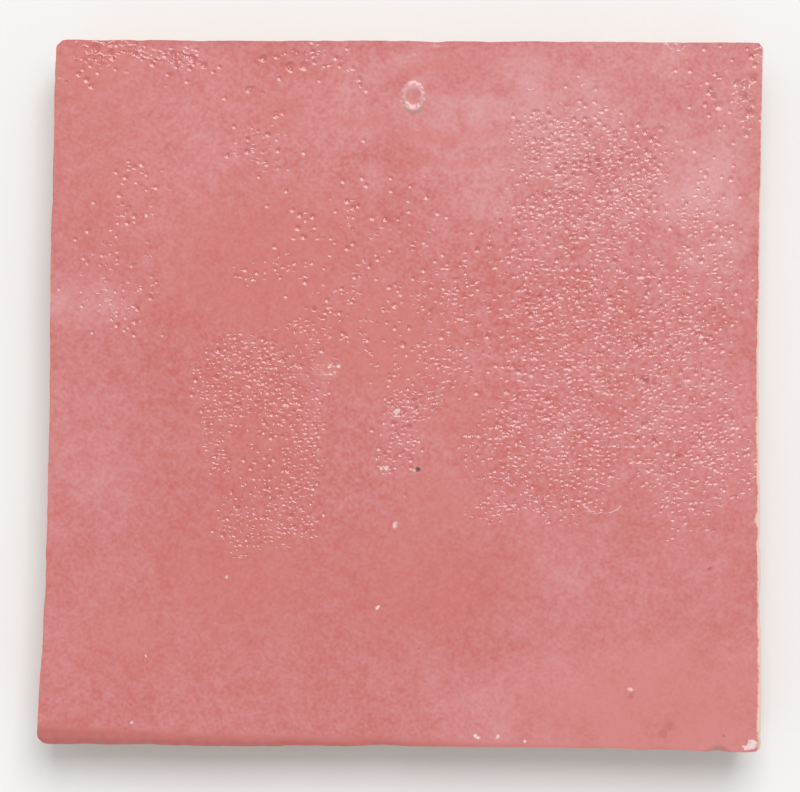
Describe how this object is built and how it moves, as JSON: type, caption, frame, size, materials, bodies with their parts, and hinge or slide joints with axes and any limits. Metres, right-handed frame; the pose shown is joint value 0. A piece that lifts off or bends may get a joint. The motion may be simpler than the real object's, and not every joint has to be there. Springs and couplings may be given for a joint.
{
  "type": "zellige tile",
  "caption": "Hand-cut square zellige tile: fired-clay slab with an uneven pink glazed face, worn rim, chiselled undercut sides and a flat back for bedding on a wall or floor.",
  "frame": {"origin": "centre of the tile's box in plan, on the flat back", "axes": "+X to the right and +Y to the top of the tile as seen facing the glaze, +Z out of the glazed face"},
  "size_m": [0.1008, 0.099, 0.0115],
  "materials": {
    "glazed_clay": "gloss"
  },
  "bodies": {
    "root": {"tile": "glazed_clay"}
  },
  "joints": []
}
